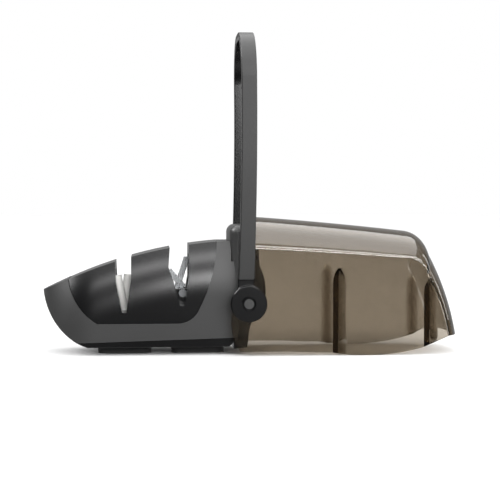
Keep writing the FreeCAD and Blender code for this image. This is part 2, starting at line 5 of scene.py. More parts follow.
import bmesh
import bpy
from bpy.props import FloatProperty, PointerProperty, StringProperty
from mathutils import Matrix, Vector


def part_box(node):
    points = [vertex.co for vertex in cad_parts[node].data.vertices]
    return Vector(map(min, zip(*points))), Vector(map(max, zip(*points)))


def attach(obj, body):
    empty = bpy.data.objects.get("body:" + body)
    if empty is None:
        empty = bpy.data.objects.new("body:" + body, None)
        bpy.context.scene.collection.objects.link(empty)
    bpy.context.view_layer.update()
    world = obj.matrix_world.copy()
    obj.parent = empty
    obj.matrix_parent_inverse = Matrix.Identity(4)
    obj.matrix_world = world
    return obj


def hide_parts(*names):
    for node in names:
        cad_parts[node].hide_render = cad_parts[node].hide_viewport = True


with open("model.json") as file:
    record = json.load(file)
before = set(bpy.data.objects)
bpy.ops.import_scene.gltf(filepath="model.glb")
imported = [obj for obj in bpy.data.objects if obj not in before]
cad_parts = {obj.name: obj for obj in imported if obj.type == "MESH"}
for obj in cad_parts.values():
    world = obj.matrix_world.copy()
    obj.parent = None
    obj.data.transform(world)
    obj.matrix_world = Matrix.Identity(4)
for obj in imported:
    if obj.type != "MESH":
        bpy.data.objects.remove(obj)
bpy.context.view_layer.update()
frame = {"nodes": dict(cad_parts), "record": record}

bl_info = {
    "name": "Knife sharpener looks",
    "version": (1, 0, 0),
    "blender": (4, 5, 0),
    "location": "3D View > Sidebar > Sharpener",
    "description": "Builds the visible pieces of a pull-through knife sharpener round its CAD frame",
    "category": "Object",
}

MM = 0.001
SKY_LIGHT = 1.2             # just enough to wash plain paper out to white
SMOKE_DENSITY = 600.0       # per metre: a 2 mm wall lets about two fifths of the light through
PIN_LOW, PIN_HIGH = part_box("hinge_pin")
PIN = (PIN_LOW + PIN_HIGH) / 2          # the hinge axis runs across through this point


# ---------------------------------------------------------------- properties

class SharpenerSizes(bpy.types.PropertyGroup):
    cover_wall: FloatProperty(
        name="Cover wall", description="Thickness of the smoke cover's wall",
        default=2.0 * MM, unit="LENGTH")
    crown_rise: FloatProperty(
        name="Crown rise", description="Height of the cover's crown above its shoulders",
        default=15.0 * MM, unit="LENGTH")
    crown_inset: FloatProperty(
        name="Crown inset", description="How far the cover's end bulges past its side walls",
        default=6.4 * MM, unit="LENGTH")
    edge_round: FloatProperty(
        name="Edge round", description="Rounding on the edges of the moulded pieces",
        default=0.45 * MM, unit="LENGTH")
    slot_edge_round: FloatProperty(
        name="Slot edge round", description="Rounding on the edges of the slots",
        default=0.35 * MM, unit="LENGTH")


class SharpenerColours(bpy.types.PropertyGroup):
    housing_grey: StringProperty(
        name="Housing grey", description="Moulded base, neck and pin caps, as an sRGB hex value",
        default="#262626")
    head_black: StringProperty(
        name="Head black", description="Sharpening head, hinge frame and hubs, as an sRGB hex value",
        default="#040405")
    cover_smoke: StringProperty(
        name="Cover smoke", description="Colour that the smoke plastic lets through, as an sRGB hex value",
        default="#8F773C")


# ---------------------------------------------------------------- materials

def linear(hex_colour):
    """An sRGB hex value as linear red, green, blue and alpha."""
    parts = [int(hex_colour[i:i + 2], 16) / 255 for i in (1, 3, 5)]
    return [c / 12.92 if c <= 0.04045 else ((c + 0.055) / 1.055) ** 2.4 for c in parts] + [1.0]


def add_node(tree, kind, settings=None, links=None):
    """Adds one node: settings are its attributes or sockets, links are socket -> output."""
    made = tree.nodes.new(kind)
    for key, value in (settings or {}).items():
        if isinstance(key, str) and hasattr(made, key):
            setattr(made, key, value)
        else:
            made.inputs[key].default_value = value
    for key, output in (links or {}).items():
        tree.links.new(output, made.inputs[key])
    return made


def new_material(name):
    """A material with an empty node tree."""
    material = bpy.data.materials.new(name)
    material.use_nodes = True
    tree = material.node_tree
    tree.nodes.clear()
    return material, tree


def surface(tree, settings, links=None):
    """The one shader of an opaque finish, and the material's output."""
    shader = add_node(tree, "ShaderNodeBsdfPrincipled", settings, links)
    add_node(tree, "ShaderNodeOutputMaterial", None, {"Surface": shader.outputs[0]})


def object_space(tree):
    return add_node(tree, "ShaderNodeTexCoord").outputs["Object"]


def per_metre(size_mm):
    """A noise scale whose features are about this many millimetres across."""
    return 1 / (size_mm * MM)


def moulded(name, colour, rough, grain_mm, grain_depth_mm, spread):
    """Moulded plastic: a spark-eroded grain, slow colour drift and uneven gloss from handling."""
    material, tree = new_material(name)
    place = object_space(tree)
    drift = add_node(tree, "ShaderNodeTexNoise", {"Scale": per_metre(38), "Detail": 3.0}, {"Vector": place})
    grain = add_node(tree, "ShaderNodeTexNoise", {"Scale": per_metre(grain_mm), "Detail": 2.0},
                     {"Vector": place})
    base = linear(colour)
    tone = add_node(tree, "ShaderNodeValToRGB", None, {"Fac": drift.outputs["Fac"]})
    tone.color_ramp.elements[0].color = [c * (1 - spread) for c in base[:3]] + [1]
    tone.color_ramp.elements[1].color = [c * (1 + spread) for c in base[:3]] + [1]
    gloss = add_node(tree, "ShaderNodeMapRange", {"To Min": rough * 0.86, "To Max": rough * 1.14},
                     {"Value": drift.outputs["Fac"]})
    bump = add_node(tree, "ShaderNodeBump", {"Strength": 0.35, "Distance": grain_depth_mm * MM},
                    {"Height": grain.outputs["Fac"]})
    surface(tree, {"IOR": 1.54}, {"Base Color": tone.outputs["Color"],
                                  "Roughness": gloss.outputs[0], "Normal": bump.outputs[0]})
    return material


def satin_grey_abs(colours):
    # ABS from a fine-textured mould: a soft broad sheen and no sharp reflection
    return moulded("satin_grey_abs", colours.housing_grey, 0.42, 0.45, 0.012, 0.05)


def shaded_loop_grey_abs(colours):
    # the loop's strip: the housing's satin grey ABS with its colour painted darker, as painted shade down
    # each leg, and a dim even sheen
    return moulded("shaded_loop_grey_abs", "#101010", 0.46, 0.45, 0.012, 0.05)


def polished_black_abs(colours):
    # ABS from a nearly polished mould: long soft bands of light on the curved sides
    return moulded("polished_black_abs", colours.head_black, 0.24, 0.6, 0.003, 0.12)


def black_nylon(colours):
    # injection-moulded nylon: dull, slightly waxy black
    return moulded("black_nylon", "#141414", 0.5, 0.5, 0.01, 0.1)


def moulded_rubber(colours):
    # thermoplastic rubber: nearly matt, with a slightly uneven tone
    return moulded("moulded_rubber", "#1B1B1B", 0.78, 0.7, 0.03, 0.15)


def smoke_san(colours):
    # clear smoke-tinted SAN: the tint is in the plastic, so ribs and edges that are seen
    # through more of it come out darker and warmer than the plain walls
    material, tree = new_material("smoke_san")
    drift = add_node(tree, "ShaderNodeTexNoise", {"Scale": per_metre(45), "Detail": 2.0},
                     {"Vector": object_space(tree)})
    gloss = add_node(tree, "ShaderNodeMapRange", {"To Min": 0.02, "To Max": 0.07},
                     {"Value": drift.outputs["Fac"]})
    tone = add_node(tree, "ShaderNodeValToRGB", None, {"Fac": drift.outputs["Fac"]})
    tone.color_ramp.elements[0].color = (0.96, 0.96, 0.96, 1)
    tone.color_ramp.elements[1].color = (1.0, 1.0, 1.0, 1)
    shader = add_node(tree, "ShaderNodeBsdfPrincipled", {"IOR": 1.57, "Transmission Weight": 1.0},
                      {"Base Color": tone.outputs["Color"], "Roughness": gloss.outputs[0]})
    tint = add_node(tree, "ShaderNodeVolumeAbsorption",
                    {"Color": linear(colours.cover_smoke), "Density": SMOKE_DENSITY})
    add_node(tree, "ShaderNodeOutputMaterial", None,
             {"Surface": shader.outputs[0], "Volume": tint.outputs[0]})
    return material


def sintered_alumina(colours):
    # fired alumina ceramic: chalk white with a fine dry grain
    material, tree = new_material("sintered_alumina")
    place = object_space(tree)
    grit = add_node(tree, "ShaderNodeTexNoise", {"Scale": per_metre(0.5), "Detail": 4.0}, {"Vector": place})
    tone = add_node(tree, "ShaderNodeValToRGB", None, {"Fac": grit.outputs["Fac"]})
    tone.color_ramp.elements[0].color = linear("#EDECE8")
    tone.color_ramp.elements[1].color = linear("#FCFBF8")
    bump = add_node(tree, "ShaderNodeBump", {"Strength": 0.3, "Distance": 0.02 * MM},
                    {"Height": grit.outputs["Fac"]})
    surface(tree, {"IOR": 1.76, "Roughness": 0.5}, {"Base Color": tone.outputs["Color"],
                                                    "Normal": bump.outputs[0]})
    return material


def ground_metal(name, colour, rough, line_mm):
    """Bare metal with fine grinding lines along its height."""
    material, tree = new_material(name)
    stretch = add_node(tree, "ShaderNodeMapping", None, {"Vector": object_space(tree)})
    stretch.inputs["Scale"].default_value = (1.0, 1.0, 0.06)
    lines = add_node(tree, "ShaderNodeTexNoise", {"Scale": per_metre(line_mm), "Detail": 3.0},
                     {"Vector": stretch.outputs[0]})
    gloss = add_node(tree, "ShaderNodeMapRange", {"To Min": rough * 0.7, "To Max": rough * 1.3},
                     {"Value": lines.outputs["Fac"]})
    bump = add_node(tree, "ShaderNodeBump", {"Strength": 0.25, "Distance": 0.01 * MM},
                    {"Height": lines.outputs["Fac"]})
    surface(tree, {"Base Color": linear(colour), "Metallic": 1.0},
            {"Roughness": gloss.outputs[0], "Normal": bump.outputs[0]})
    return material


def ground_carbide(colours):
    # tungsten carbide ground flat: bright with fine lines up the blade
    return ground_metal("ground_carbide", "#C9CBCD", 0.28, 0.4)


def turned_steel(colours):
    # bright turned steel: pins and screws
    return ground_metal("turned_steel", "#A9ABAD", 0.3, 0.35)


def paper_white(colours):
    # seamless white studio paper
    material, tree = new_material("paper_white")
    fibre = add_node(tree, "ShaderNodeTexNoise", {"Scale": per_metre(60)}, {"Vector": object_space(tree)})
    tone = add_node(tree, "ShaderNodeValToRGB", None, {"Fac": fibre.outputs["Fac"]})
    tone.color_ramp.elements[0].color = (0.86, 0.86, 0.86, 1)
    tone.color_ramp.elements[1].color = (0.88, 0.88, 0.88, 1)
    surface(tree, {"Roughness": 0.9, "Specular IOR Level": 0.1}, {"Base Color": tone.outputs["Color"]})
    return material


MATERIALS = {}


def finish_of(slot_name):
    """The finish of a material slot, made the first time that it is asked for."""
    makers = {
        "grey_abs": satin_grey_abs, "black_abs": polished_black_abs, "smoke_clear": smoke_san,
        "ceramic": sintered_alumina, "carbide": ground_carbide, "steel": turned_steel,
        "loop_strip": shaded_loop_grey_abs, "nylon": black_nylon, "rubber": moulded_rubber,
        "paper": paper_white,
    }
    if slot_name not in MATERIALS:
        MATERIALS[slot_name] = makers[slot_name](bpy.context.scene.sharpener_colours)
    return MATERIALS[slot_name]


# ---------------------------------------------------------------- mesh helpers

def mesh_object(name, grid_mesh, slot_name, smooth_angle):
    """Turns a bmesh into an object with its finish and its sharp edges marked."""
    mesh = bpy.data.meshes.new(name)
    bmesh.ops.remove_doubles(grid_mesh, verts=grid_mesh.verts, dist=0.002 * MM)
    bmesh.ops.recalc_face_normals(grid_mesh, faces=grid_mesh.faces)
    grid_mesh.to_mesh(mesh)
    grid_mesh.free()
    piece = bpy.data.objects.new(name, mesh)
    bpy.context.scene.collection.objects.link(piece)
    mesh.materials.append(finish_of(slot_name))
    smooth(piece, smooth_angle)
    return piece


def smooth(piece, angle):
    """Smooth shading, with the edges sharper than this angle kept crisp."""
    mesh = piece.data
    mesh.polygons.foreach_set("use_smooth", [True] * len(mesh.polygons))
    mesh.set_sharp_from_angle(angle=math.radians(angle))


def arc_points(start, middle, end, count):
    """Evenly spaced points on the circle through three points of a plane."""
    ax, ay = start
    bx, by = middle
    cx, cy = end
    d = 2 * (ax * (by - cy) + bx * (cy - ay) + cx * (ay - by))
    a2, b2, c2 = ax * ax + ay * ay, bx * bx + by * by, cx * cx + cy * cy
    ux = (a2 * (by - cy) + b2 * (cy - ay) + c2 * (ay - by)) / d
    uy = (a2 * (cx - bx) + b2 * (ax - cx) + c2 * (bx - ax)) / d
    radius = math.hypot(ax - ux, ay - uy)
    first = math.atan2(ay - uy, ax - ux)
    mid_turn, end_turn = [(math.atan2(y - uy, x - ux) - first) % math.tau for x, y in (middle, end)]
    if mid_turn > end_turn:
        end_turn -= math.tau
    angles = [first + end_turn * i / (count - 1) for i in range(count)]
    return [(ux + radius * math.cos(a), uy + radius * math.sin(a)) for a in angles]


def circle_points(x, z, radius, count):
    turns = [math.tau * i / count for i in range(count)]
    return [(x + radius * math.cos(a), z + radius * math.sin(a)) for a in turns]


def at_pin(x, y, z):
    """A point given in millimetres from the hinge axis."""
    return Vector((PIN.x + x * MM, y * MM, PIN.z + z * MM))


def prism(name, outline, y_low, y_high):
    """A closed block: an outline in the side plane, carried across."""
    cutter = bmesh.new()
    rings = [[cutter.verts.new(at_pin(x, y, z)) for x, z in outline] for y in (y_low, y_high)]
    for i in range(len(outline)):
        j = (i + 1) % len(outline)
        cutter.faces.new((rings[0][i], rings[0][j], rings[1][j], rings[1][i]))
    cutter.faces.new(rings[0])
    cutter.faces.new(reversed(rings[1]))
    bmesh.ops.recalc_face_normals(cutter, faces=cutter.faces)
    mesh = bpy.data.meshes.new(name)
    cutter.to_mesh(mesh)
    cutter.free()
    block = bpy.data.objects.new(name, mesh)
    bpy.context.scene.collection.objects.link(block)
    return block


def cut_away(piece, cutters):
    """Takes the cutters' shapes out of the piece and throws the cutters away."""
    for cutter in cutters:
        modifier = piece.modifiers.new("cut", "BOOLEAN")
        modifier.operation = "DIFFERENCE"
        modifier.object = cutter
        modifier.solver = "EXACT"
    apply_modifiers(piece)
    for cutter in cutters:
        mesh = cutter.data
        bpy.data.objects.remove(cutter)
        bpy.data.meshes.remove(mesh)


def apply_modifiers(piece):
    """Keeps the mesh that the modifiers make and drops the modifiers."""
    bpy.context.view_layer.update()
    depsgraph = bpy.context.evaluated_depsgraph_get()
    made = bpy.data.meshes.new_from_object(piece.evaluated_get(depsgraph))
    old = piece.data
    piece.modifiers.clear()
    piece.data = made
    made.name = old.name
    bpy.data.meshes.remove(old)


def quads(sheet, rows):
    """Fills the strips between rows of vertices, leaving out what has closed up."""
    for row, after in zip(rows, rows[1:]):
        for a, b, c, d in zip(row, row[1:], after[1:], after):
            if len({v.co.to_tuple(7) for v in (a, b, c, d)}) > 2:
                sheet.faces.new((a, b, c, d))


def soften(piece, width, segments=3, angle=40):
    """Rounded edges that catch the light, and normals that keep the flats flat."""
    weld = piece.modifiers.new("weld", "WELD")
    weld.merge_threshold = 0.001 * MM
    bevel = piece.modifiers.new("edges", "BEVEL")
    bevel.width = width
    bevel.segments = segments
    bevel.limit_method = "ANGLE"
    bevel.angle_limit = math.radians(angle)
    bevel.miter_outer = "MITER_ARC"
    weights = piece.modifiers.new("normals", "WEIGHTED_NORMAL")
    weights.keep_sharp = True


# ---------------------------------------------------------------- cover

# millimetres from the hinge axis, as in the rest of the script
HALF_COVER = 25.0
COVER_REACH, CREST_RUN = 104.9, 79.0            # the end, and where the roof's crest starts to fall
CREST_FRONT, CREST_BACK = 41.3, 34.4            # the crest's height at the hinge and at CREST_RUN
RIM_FRONT, RIM_BELLY, RIM_TIP = -23.3, -25.4, -16.2
COVER_LEFT, MOUTH_TOP = 3.0, 7.2                # the mouth's upright edge and its lower end
LOBE = ((-6.4, 0.6), (-8.3, -9.5), (-4, RIM_FRONT))     # the round edge that reaches over the hinge
BUSH_RADIUS = 3.3
RIBS = ((44.4, 16.6), (89.2, 11.4))             # where each pair of ribs stands, and its top
RIB_RADIUS, RIB_PROUD, RIB_TAPER = 3.3, 2.8, 6.5
CROWN_BEND = 0.99           # how much of a quarter ellipse the crown uses


def cover_path(drop, inset):
    """The cover's long outline at one distance from its middle, from the mouth to the rim tip."""
    end = COVER_REACH - inset
    run = CREST_RUN - inset * 0.3
    front = CREST_FRONT - drop
    back = CREST_BACK - drop * 0.82
    roof = arc_points((-12, front + 1.2), (42, (front + back) / 2 + 0.4), (run, back), 241)
    height = next(z for x, z in roof if x > COVER_LEFT)
    roof = [(max(x, COVER_LEFT), z if x > COVER_LEFT else height) for x, z in roof]
    corner = arc_points((run, back), (run + 6.8, back - 2.4), (run + 11.5, back - 9.5), 33)
    tail = arc_points((run + 11.5, back - 9.5), (end - 4.2, 1.2 - drop * 0.1), (end, RIM_TIP), 65)
    return roof + corner[1:] + tail[1:]


def path_stations():
    """Which points of the long outline are kept: all of them near a rib, a quarter elsewhere."""
    path = cover_path(0, 0)
    first = max(i for i, (x, z) in enumerate(path) if x <= COVER_LEFT)
    near = [any(abs(x - at) < RIB_RADIUS + 2.5 for at, top in RIBS) for x, z in path]
    kept = [i for i in range(first, len(path)) if i == first or near[i] or i % 4 == 0]
    return kept + [len(path) - 1] * (kept[-1] != len(path) - 1)


def rim_height(x):
    """The S-shaped lower rim of the side walls."""
    stretches = [
        ((-14, RIM_FRONT), None, (20, RIM_FRONT)),
        ((20, RIM_FRONT), (31, RIM_FRONT - 0.5), (40, RIM_BELLY + 1.5)),
        ((40, RIM_BELLY + 1.5), (61, RIM_BELLY), (86, RIM_BELLY + 3.9)),
        ((86, RIM_BELLY + 3.9), None, (COVER_REACH - 6.5, RIM_TIP)),
        ((COVER_REACH - 6.5, RIM_TIP), None, (COVER_REACH + 3, RIM_TIP)),
    ]
    for start, middle, end in stretches:
        if x <= end[0]:
            points = [start, end] if middle is None else arc_points(start, middle, end, 25)
            for (x0, z0), (x1, z1) in zip(points, points[1:]):
                if x <= x1:
                    return z0 + (z1 - z0) * (x - x0) / (x1 - x0)
    return RIM_TIP


def crown_fall(share):
    """How far the crown has come down at this share of the half width, from 0 to 1."""
    full = 1 - math.sqrt(1 - CROWN_BEND ** 2)
    return (1 - math.sqrt(1 - (share * CROWN_BEND) ** 2)) / full


def lobe_edge(lobe, z):
    """The left edge of the wall round the hinge: a slant above, a round below."""
    if z >= lobe[0][1]:
        x0, z0 = lobe[0]
        return x0 + (COVER_LEFT - x0) * (z - z0) / (MOUTH_TOP - z0)
    return min(lobe, key=lambda point: abs(point[1] - z))[0]


def cover_sheet(sizes):
    """The cover's outside as one open sheet: two flat walls under a crowned roof and end."""
    rise, inset = sizes.crown_rise / MM, sizes.crown_inset / MM
    across, lower, upper, lobe_steps = 36, 26, 20, 10       # strips over the crown, a wall and a lobe
    kept = path_stations()
    sheet = bmesh.new()
    rows = []
    for j in range(across + 1):
        share = math.sin((j / across - 0.5) * math.pi)
        fall = crown_fall(share)
        path = cover_path(rise * fall, inset * fall)
        rows.append([sheet.verts.new(at_pin(path[i][0], share * HALF_COVER, path[i][1])) for i in kept])
    quads(sheet, rows)
    path = [cover_path(rise, inset)[i] for i in kept]
    lobe = arc_points(*LOBE, 60)
    split = (MOUTH_TOP - RIM_FRONT) / (path[0][1] - RIM_FRONT)
    for side in (-HALF_COVER, HALF_COVER):
        levels = [split * k / lower for k in range(lower)]
        levels += [split + (1 - split) * k / upper for k in range(upper + 1)]
        wall = []
        for x, top in path:
            low = min(rim_height(x), top)
            wall.append([sheet.verts.new(at_pin(x, side, low + (top - low) * f)) for f in levels])
        quads(sheet, wall)
        grid = []
        for k in range(lower + 1):
            z = RIM_FRONT + (MOUTH_TOP - RIM_FRONT) * k / lower
            left = lobe_edge(lobe, z)
            grid.append([sheet.verts.new(at_pin(left + (COVER_LEFT - left) * c / lobe_steps, side, z))
                         for c in range(lobe_steps + 1)])
        quads(sheet, grid)
    return sheet


def raise_ribs(cover, wall):
    """Draws the inner side walls out into upright ribs, ridged in section and pointed at the top."""
    inner = HALF_COVER * MM - wall
    for vert in cover.data.vertices:
        if abs(abs(vert.co.y) - inner) > 0.05 * MM:
            continue
        x, z = (vert.co.x - PIN.x) / MM, (vert.co.z - PIN.z) / MM
        for at, top in RIBS:
            up = max(0.0, z - top + RIB_TAPER) / RIB_TAPER
            if up >= 1:
                continue
            taper = math.sqrt(1 - up * up)
            reach = abs(x - at) / (RIB_RADIUS * taper)
            if reach < 1:
                proud = RIB_PROUD * taper * (1 - reach ** 1.15) * MM
                vert.co.y = math.copysign(inner - proud, vert.co.y)


class SHARPENER_OT_cover(bpy.types.Operator):
    """Builds the smoke cover with its crowned roof, S-shaped rim and upright ribs"""
    bl_idname = "sharpener.cover"
    bl_label = "Smoke cover"

    def execute(self, context):
        sizes = context.scene.sharpener_sizes
        cover = mesh_object("smoke_cover", cover_sheet(sizes), "smoke_clear", 30)
        wall = cover.modifiers.new("wall", "SOLIDIFY")
        wall.thickness = sizes.cover_wall
        wall.offset = -1
        wall.use_even_offset = True
        apply_modifiers(cover)
        raise_ribs(cover, sizes.cover_wall)
        bore = prism("bush_bore", circle_points(0, 0, BUSH_RADIUS, 40), -30, 30)
        cut_away(cover, [bore])
        smooth(cover, 30)
        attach(cover, "cover")
        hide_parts("cover_shell")
        return {"FINISHED"}


# ---------------------------------------------------------------- sharpening head and housing

BASE_REACH, HALF_BASE, NOSE_RUN = 99.6, 19.8, 26.0
TIP_TOP, TIP_RISE = 5.9, 5.6            # the nose's top, and its climb to the head's front corner
FOOT_LEFT, FOOT_RIGHT = (-82.8, -19.2), (-5.0, -17.0)   # the ends of the housing's lower edge
HEAD_FRONT, HEAD_BACK, HEAD_FLOOR, BLOCK_TOP = -87.0, -14.8, -10.0, 29.6
HEAD_GAP, HEAD_SINK = 0.15, 0.5         # the head's play in the housing, and how far it stands back
CREST_MIDDLE = (HEAD_BACK - 34, BLOCK_TOP - 5.4)        # a point part way along the head's bowed top
SLOTS = ((-60.7, -4.6, 15.5, False), (-32.6, -1.4, 23, True))   # place, floor, roof, side notch
CHAMBER_HALF_LONG, CHAMBER_HALF_WIDE, CHAMBER_FLOOR = 6.6, 7.5, -11
SIDE_LEAN, SIDE_DEPTH = 5.2, 25.0       # how far the sides come in at the top, and from how far down
HALF_NECK, NECK_FOOT, NECK_TOP = 17.4, 12.0, 37.6
NECK_LEFT, NECK_RIGHT, NECK_CORNER, NECK_FLARE = -8.6, 2.4, 4.0, 22.0


def head_border():
    """The line where head and housing meet, from the front corner round to the back one."""
    front = arc_points((HEAD_FRONT, TIP_TOP + TIP_RISE - HEAD_GAP), (-81.9, -1.5), (-72.8, HEAD_FLOOR), 24)
    turn = arc_points((-34, HEAD_FLOOR), (-27, -7.6), (-23.3, -2.6), 10)
    rise = arc_points((-23.3, -2.6), (-17.7, 11.6), (HEAD_BACK, BLOCK_TOP), 26)
    return front + turn + rise[1:]


def top_line():
    """The top of the whole base, nose to block, that the sides curve in towards."""
    front = (HEAD_FRONT, TIP_TOP + TIP_RISE - HEAD_GAP)
    return [(-BASE_REACH, TIP_TOP)] + arc_points(front, CREST_MIDDLE, (HEAD_BACK, BLOCK_TOP), 60)


def height_at(line, x):
    """The height of a line of points above one place."""
    for (x0, z0), (x1, z1) in zip(line, line[1:]):
        if x <= x1:
            return z0 + (z1 - z0) * (x - x0) / (x1 - x0)
    return line[-1][1]


def plan_half(x):
    """Half the width of the base in plan: full behind, rounded to a blunt nose in front."""
    along = min(1.0, max(0.0, (x + BASE_REACH) / NOSE_RUN))
    return HALF_BASE * (0.16 + 0.84 * (1 - (1 - along) ** 2.3) ** (1 / 1.9))


def side_half(x, z, line):
    """Half the width at a point of the side: the wall leans in over its top part."""
    depth = max(0.0, height_at(line, x) - z)
    lean = SIDE_LEAN * max(0.0, 1 - depth / SIDE_DEPTH) ** 2
    return plan_half(x) * (1 - lean / HALF_BASE)


def shaped_block(name, outline, slot_name, half_at):
    """A side profile carried across, cut into a fine grid and pressed to its width at each point."""
    step = 1.6
    block = bmesh.new()
    near = [block.verts.new(at_pin(x, -HALF_BASE, z)) for x, z in outline]
    far = [block.verts.new(at_pin(x, HALF_BASE, z)) for x, z in outline]
    block.faces.new(near)
    block.faces.new(reversed(far))
    for i in range(len(outline)):
        j = (i + 1) % len(outline)
        block.faces.new((near[i], near[j], far[j], far[i]))
    lows = [min(p[k] for p in outline) for k in (0, 1)]
    highs = [max(p[k] for p in outline) for k in (0, 1)]
    for k, normal in ((0, (1, 0, 0)), (1, (0, 0, 1))):
        count = int((highs[k] - lows[k]) / step)
        for i in range(1, count):
            at = lows[k] + (highs[k] - lows[k]) * i / count
            place = at_pin(at, 0, 0) if k == 0 else at_pin(0, 0, at)
            bmesh.ops.bisect_plane(block, geom=block.verts[:] + block.edges[:] + block.faces[:],
                                   plane_co=place, plane_no=normal, dist=1e-7)
    for vert in block.verts:
        x, z = (vert.co.x - PIN.x) / MM, (vert.co.z - PIN.z) / MM
        vert.co.y = math.copysign(half_at(x, z) * MM, vert.co.y)
    return mesh_object(name, block, slot_name, 30)


def slot_outline(at, floor, notch):
    """The opening that a knife drops into: wide at the mouth, narrow at the root."""
    left = [(at - 4.2, 40)]
    if notch:
        left.append((at - 5.8, 16.6))
    left += [(at - 3.2, 10), (at - 0.35, floor)]
    return left + [(at + 1.95, floor), (at + 4.2, 11.5), (at + 4.2, 40)]


class SHARPENER_OT_head(bpy.types.Operator):
    """Builds the black sharpening head with its curved sides and two slots"""
    bl_idname = "sharpener.head"
    bl_label = "Sharpening head"

    def execute(self, context):
        line = top_line()
        crest = arc_points((HEAD_BACK, BLOCK_TOP), CREST_MIDDLE,
                           (HEAD_FRONT, TIP_TOP + TIP_RISE - HEAD_GAP), 40)
        head = shaped_block("head_moulding", head_border() + crest[1:-1], "black_abs",
                            lambda x, z: side_half(x, z, line) - HEAD_SINK)
        cutters = []
        for at, floor, roof, notch in SLOTS:
            left, right = at - CHAMBER_HALF_LONG, at + CHAMBER_HALF_LONG
            cutters.append(prism("slot", slot_outline(at, floor, notch), -25, 25))
            cutters.append(prism("chamber", [(left, CHAMBER_FLOOR), (right, CHAMBER_FLOOR),
                                             (right, roof), (left, roof)],
                                 -CHAMBER_HALF_WIDE, CHAMBER_HALF_WIDE))
        cut_away(head, cutters)
        smooth(head, 30)
        soften(head, context.scene.sharpener_sizes.slot_edge_round, 2, 50)
        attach(head, "base")
        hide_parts("sharpening_head")
        return {"FINISHED"}


class SHARPENER_OT_housing(bpy.types.Operator):
    """Builds the grey housing: nose, rest for the head, block and neck"""
    bl_idname = "sharpener.housing"
    bl_label = "Base housing"

    def execute(self, context):
        line = top_line() + [(0.0, BLOCK_TOP)]
        nose = arc_points(FOOT_LEFT, (4.5 - BASE_REACH, TIP_TOP - 12.6), (-BASE_REACH, TIP_TOP), 20)
        outline = nose + [(HEAD_FRONT, TIP_TOP + TIP_RISE)] + head_border()
        outline += [(NECK_LEFT + 0.6, BLOCK_TOP), (NECK_LEFT + 0.6, 20.0), (NECK_RIGHT, 20.0),
                    (NECK_RIGHT, 4.0), (-4.0, -5.0), FOOT_RIGHT]
        housing = shaped_block("housing_moulding", outline, "grey_abs",
                               lambda x, z: side_half(x, z, line))
        soften(housing, context.scene.sharpener_sizes.edge_round)
        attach(housing, "base")
        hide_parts("base_housing")
        self.neck()
        return {"FINISHED"}

    def neck(self):
        """The upright behind the block: a pillar rounded on its corners, flared at its foot."""
        rows = []
        column = bmesh.new()
        levels, quarter = 32, 6
        for k in range(levels + 1):
            z = NECK_FOOT + (NECK_TOP - NECK_FOOT) * (1 - (1 - k / levels) ** 1.5)
            over = max(0.0, z - (NECK_TOP - NECK_CORNER)) / NECK_CORNER
            dome = math.sqrt(max(0.0, 1 - over * over)) if over < 1 else 0.0
            left = NECK_LEFT + NECK_CORNER * (1 - dome)
            right = NECK_RIGHT - NECK_CORNER * (1 - dome)
            flare = max(0.0, 1 - (z - NECK_FOOT) / NECK_FLARE) ** 1.5
            half = HALF_NECK + (HALF_BASE - HALF_NECK - 0.2) * flare - NECK_CORNER * (1 - dome)
            round_off = NECK_CORNER * max(0.25, dome)
            ring = []
            corners = ((right, half, 1, 1), (left, half, -1, 1),
                       (left, -half, -1, -1), (right, -half, 1, -1))
            for corner, (cx, cy, sx, sy) in enumerate(corners):
                for step in range(quarter + 1):
                    turn = math.pi / 2 * (corner + step / quarter)
                    x = cx - sx * round_off + round_off * math.cos(turn)
                    y = cy - sy * round_off + round_off * math.sin(turn)
                    ring.append(column.verts.new(at_pin(x, y, z)))
            rows.append(ring + ring[:1])
        quads(column, rows)
        column.faces.new(rows[0][:-1])
        column.faces.new(reversed(rows[-1][:-1]))
        neck = mesh_object("neck_moulding", column, "grey_abs", 40)
        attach(neck, "base")


# ---------------------------------------------------------------- hub steps

STEP_RADIUS, STEP_OFF, STEP_SLOPE = 8.6, 2.75, 43       # the slanting cut's distance from the pin, degrees
PIN_WINDOW = 3.3

class SHARPENER_OT_hub_steps(bpy.types.Operator):
    """Builds the raised step round the pin on each hub, cut off along a slanting line"""
    bl_idname = "sharpener.hub_steps"
    bl_label = "Hub steps"

    def execute(self, context):
        half = math.acos(STEP_OFF / STEP_RADIUS)
        up = math.radians(STEP_SLOPE) + math.pi / 2
        turns = [up + half + 2 * (math.pi - half) * k / 60 for k in range(61)]
        outline = [(STEP_RADIUS * math.cos(turn), STEP_RADIUS * math.sin(turn)) for turn in turns]
        strip_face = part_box("handle_trim")[1].y / MM
        face, hub_face = strip_face - 0.02, strip_face - 0.45
        for side, sign in (("near", -1), ("far", 1)):
            block = prism("hub_step_" + side, outline, sign * hub_face, sign * face)
            block.data.materials.append(finish_of("black_abs"))
            cut_away(block, [prism("pin_window", circle_points(0, 0, PIN_WINDOW, 40), -30, 30)])
            smooth(block, 30)
            soften(block, 0.38 * MM)
            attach(block, "handle")
        return {"FINISHED"}


# ---------------------------------------------------------------- carried-over pieces

class SHARPENER_OT_finishes(bpy.types.Operator):
    """Gives every carried-over CAD piece its finish and softened edges"""
    bl_idname = "sharpener.finishes"
    bl_label = "Finishes"

    def execute(self, context):
        slots = {row["node"]: row["material_slot"] for row in frame["record"]["subparts"]}
        # the loop's strip takes the darker grey that paints shade down its legs
        slots["handle_trim"] = "loop_strip"
        replaced = {"cover_shell", "sharpening_head", "base_housing"}
        fine = {"ceramic_rod_front", "ceramic_rod_rear", "carbide_blade_front", "carbide_blade_rear"}
        wide_round, fine_round = context.scene.sharpener_sizes.edge_round, 0.25 * MM
        for name, node in frame["nodes"].items():
            node.data.materials.clear()
            node.data.materials.append(finish_of(slots[name]))
            if name not in replaced:
                soften(node, fine_round if name in fine or "pin" in name else wide_round)
        return {"FINISHED"}


